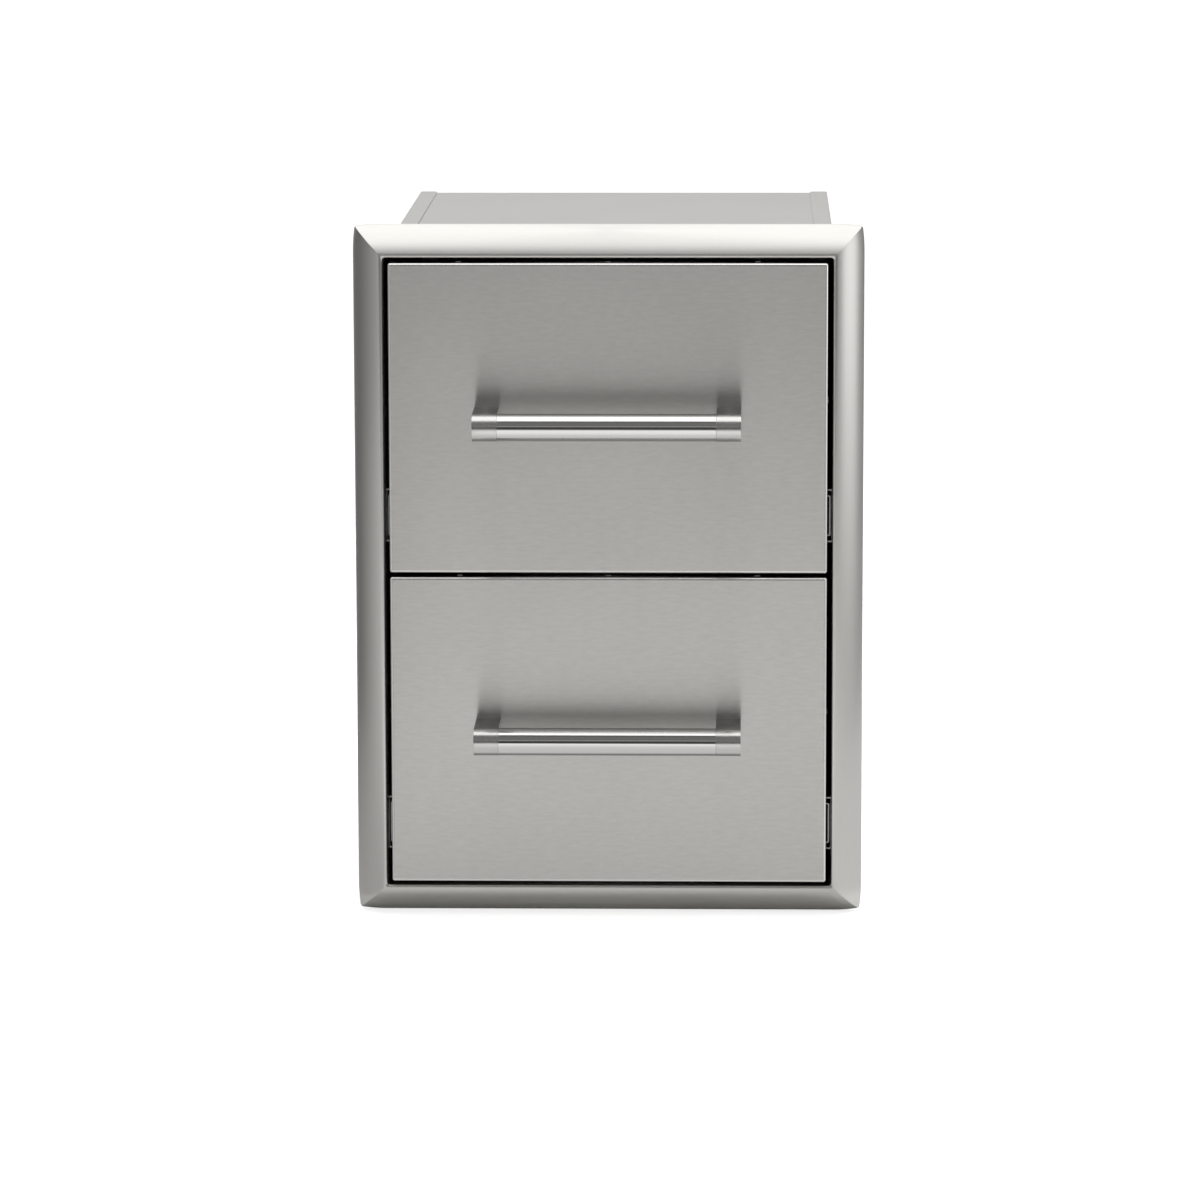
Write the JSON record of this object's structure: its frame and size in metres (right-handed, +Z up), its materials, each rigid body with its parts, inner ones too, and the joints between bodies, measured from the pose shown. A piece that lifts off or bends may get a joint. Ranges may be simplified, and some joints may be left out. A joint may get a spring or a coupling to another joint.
{
  "type": "outdoor kitchen drawer unit",
  "caption": "Built-in stainless drawer unit with stacked drawers on ball slides, bar handles and a rounded flange trim, for a cut-out in an outdoor kitchen.",
  "frame": {"origin": "middle of the bottom rail's rear hem, in the plane of the wall's face", "axes": "+X to the right as seen from in front, +Y into the wall, +Z up; the drawers open along -Y"},
  "size_m": [0.435, 0.6524, 0.595],
  "materials": {
    "brushed_steel": "stainless sheet with a fine horizontal brushed grain",
    "satin_steel": "plain satin stainless sheet",
    "polished_steel": "smooth, nearly polished stainless",
    "zinc_steel": "bright zinc plate",
    "cage_steel": "dull oiled strip",
    "black_plastic": "moulded, slightly textured"
  },
  "bodies": {
    "cabinet": {"trim_rail_top": "brushed_steel", "trim_rail_bottom": "brushed_steel", "trim_rail_right": "brushed_steel", "trim_rail_left": "brushed_steel", "cabinet_side_left": "satin_steel", "cabinet_side_right": "satin_steel", "cabinet_top_panel": "satin_steel", "cabinet_floor_panel": "satin_steel", "cabinet_back_panel": "satin_steel", "upper_slide_left_cabinet_member": "zinc_steel", "upper_slide_right_cabinet_member": "zinc_steel", "lower_slide_left_cabinet_member": "zinc_steel", "lower_slide_right_cabinet_member": "zinc_steel"},
    "upper_drawer": {"upper_drawer_face_pan": "brushed_steel", "upper_drawer_face_liner": "satin_steel", "upper_drawer_side_left": "satin_steel", "upper_drawer_side_right": "satin_steel", "upper_drawer_floor": "satin_steel", "upper_drawer_back": "satin_steel", "upper_handle_bar": "polished_steel", "upper_handle_post_left": "polished_steel", "upper_handle_screw_left": "zinc_steel", "upper_slide_left_drawer_member": "zinc_steel", "upper_handle_post_right": "polished_steel", "upper_handle_screw_right": "zinc_steel", "upper_slide_right_drawer_member": "zinc_steel"},
    "lower_drawer": {"lower_drawer_face_pan": "brushed_steel", "lower_drawer_face_liner": "satin_steel", "lower_drawer_side_left": "satin_steel", "lower_drawer_side_right": "satin_steel", "lower_drawer_floor": "satin_steel", "lower_drawer_back": "satin_steel", "lower_handle_bar": "polished_steel", "lower_handle_post_left": "polished_steel", "lower_handle_screw_left": "zinc_steel", "lower_slide_left_drawer_member": "zinc_steel", "lower_handle_post_right": "polished_steel", "lower_handle_screw_right": "zinc_steel", "lower_slide_right_drawer_member": "zinc_steel"},
    "upper_slide_left_middle_member_body": {"upper_slide_left_middle_member": "zinc_steel"},
    "upper_slide_left_outer_cage_body": {"upper_slide_left_outer_cage": "cage_steel"},
    "upper_slide_left_inner_cage_body": {"upper_slide_left_inner_cage": "cage_steel"},
    "upper_slide_left_lever_body": {"upper_slide_left_release_lever": "black_plastic"},
    "upper_slide_right_middle_member_body": {"upper_slide_right_middle_member": "zinc_steel"},
    "upper_slide_right_outer_cage_body": {"upper_slide_right_outer_cage": "cage_steel"},
    "upper_slide_right_inner_cage_body": {"upper_slide_right_inner_cage": "cage_steel"},
    "upper_slide_right_lever_body": {"upper_slide_right_release_lever": "black_plastic"},
    "lower_slide_left_middle_member_body": {"lower_slide_left_middle_member": "zinc_steel"},
    "lower_slide_left_outer_cage_body": {"lower_slide_left_outer_cage": "cage_steel"},
    "lower_slide_left_inner_cage_body": {"lower_slide_left_inner_cage": "cage_steel"},
    "lower_slide_left_lever_body": {"lower_slide_left_release_lever": "black_plastic"},
    "lower_slide_right_middle_member_body": {"lower_slide_right_middle_member": "zinc_steel"},
    "lower_slide_right_outer_cage_body": {"lower_slide_right_outer_cage": "cage_steel"},
    "lower_slide_right_inner_cage_body": {"lower_slide_right_inner_cage": "cage_steel"},
    "lower_slide_right_lever_body": {"lower_slide_right_release_lever": "black_plastic"}
  },
  "joints": [
    {"name": "upper_drawer_slide", "type": "slide", "parent": "cabinet", "child": "upper_drawer", "axis": [0, -1, 0], "range_m": [0, 0.48]},
    {"name": "lower_drawer_slide", "type": "slide", "parent": "cabinet", "child": "lower_drawer", "axis": [0, -1, 0], "range_m": [0, 0.48]},
    {"name": "upper_slide_left_middle_member_slide", "type": "slide", "parent": "cabinet", "child": "upper_slide_left_middle_member_body", "axis": [0, -1, 0], "range_m": [0, 0.24]},
    {"name": "upper_slide_left_outer_cage_slide", "type": "slide", "parent": "cabinet", "child": "upper_slide_left_outer_cage_body", "axis": [0, -1, 0], "range_m": [0, 0.12]},
    {"name": "upper_slide_left_inner_cage_slide", "type": "slide", "parent": "cabinet", "child": "upper_slide_left_inner_cage_body", "axis": [0, -1, 0], "range_m": [0, 0.36]},
    {"name": "upper_slide_left_lever_pivot", "type": "hinge", "parent": "upper_drawer", "child": "upper_slide_left_lever_body", "pos_m": [-0.1819, 0.262, 0.3383], "axis": [1, 0, 0], "range_deg": [0, 8], "stiffness_Nm_per_rad": 0.05},
    {"name": "upper_slide_right_middle_member_slide", "type": "slide", "parent": "cabinet", "child": "upper_slide_right_middle_member_body", "axis": [0, -1, 0], "range_m": [0, 0.24]},
    {"name": "upper_slide_right_outer_cage_slide", "type": "slide", "parent": "cabinet", "child": "upper_slide_right_outer_cage_body", "axis": [0, -1, 0], "range_m": [0, 0.12]},
    {"name": "upper_slide_right_inner_cage_slide", "type": "slide", "parent": "cabinet", "child": "upper_slide_right_inner_cage_body", "axis": [0, -1, 0], "range_m": [0, 0.36]},
    {"name": "upper_slide_right_lever_pivot", "type": "hinge", "parent": "upper_drawer", "child": "upper_slide_right_lever_body", "pos_m": [0.1819, 0.262, 0.3383], "axis": [1, 0, 0], "range_deg": [-8, 0], "stiffness_Nm_per_rad": 0.05},
    {"name": "lower_slide_left_middle_member_slide", "type": "slide", "parent": "cabinet", "child": "lower_slide_left_middle_member_body", "axis": [0, -1, 0], "range_m": [0, 0.24]},
    {"name": "lower_slide_left_outer_cage_slide", "type": "slide", "parent": "cabinet", "child": "lower_slide_left_outer_cage_body", "axis": [0, -1, 0], "range_m": [0, 0.12]},
    {"name": "lower_slide_left_inner_cage_slide", "type": "slide", "parent": "cabinet", "child": "lower_slide_left_inner_cage_body", "axis": [0, -1, 0], "range_m": [0, 0.36]},
    {"name": "lower_slide_left_lever_pivot", "type": "hinge", "parent": "lower_drawer", "child": "lower_slide_left_lever_body", "pos_m": [-0.1819, 0.262, 0.0695], "axis": [1, 0, 0], "range_deg": [0, 8], "stiffness_Nm_per_rad": 0.05},
    {"name": "lower_slide_right_middle_member_slide", "type": "slide", "parent": "cabinet", "child": "lower_slide_right_middle_member_body", "axis": [0, -1, 0], "range_m": [0, 0.24]},
    {"name": "lower_slide_right_outer_cage_slide", "type": "slide", "parent": "cabinet", "child": "lower_slide_right_outer_cage_body", "axis": [0, -1, 0], "range_m": [0, 0.12]},
    {"name": "lower_slide_right_inner_cage_slide", "type": "slide", "parent": "cabinet", "child": "lower_slide_right_inner_cage_body", "axis": [0, -1, 0], "range_m": [0, 0.36]},
    {"name": "lower_slide_right_lever_pivot", "type": "hinge", "parent": "lower_drawer", "child": "lower_slide_right_lever_body", "pos_m": [0.1819, 0.262, 0.0695], "axis": [1, 0, 0], "range_deg": [-8, 0], "stiffness_Nm_per_rad": 0.05}
  ],
  "couplings": [
    {"joint": "upper_slide_left_middle_member_slide", "follows": "upper_drawer_slide", "ratio": 0.5},
    {"joint": "upper_slide_left_outer_cage_slide", "follows": "upper_drawer_slide", "ratio": 0.25},
    {"joint": "upper_slide_left_inner_cage_slide", "follows": "upper_drawer_slide", "ratio": 0.75},
    {"joint": "upper_slide_right_middle_member_slide", "follows": "upper_drawer_slide", "ratio": 0.5},
    {"joint": "upper_slide_right_outer_cage_slide", "follows": "upper_drawer_slide", "ratio": 0.25},
    {"joint": "upper_slide_right_inner_cage_slide", "follows": "upper_drawer_slide", "ratio": 0.75},
    {"joint": "lower_slide_left_middle_member_slide", "follows": "lower_drawer_slide", "ratio": 0.5},
    {"joint": "lower_slide_left_outer_cage_slide", "follows": "lower_drawer_slide", "ratio": 0.25},
    {"joint": "lower_slide_left_inner_cage_slide", "follows": "lower_drawer_slide", "ratio": 0.75},
    {"joint": "lower_slide_right_middle_member_slide", "follows": "lower_drawer_slide", "ratio": 0.5},
    {"joint": "lower_slide_right_outer_cage_slide", "follows": "lower_drawer_slide", "ratio": 0.25},
    {"joint": "lower_slide_right_inner_cage_slide", "follows": "lower_drawer_slide", "ratio": 0.75}
  ]
}
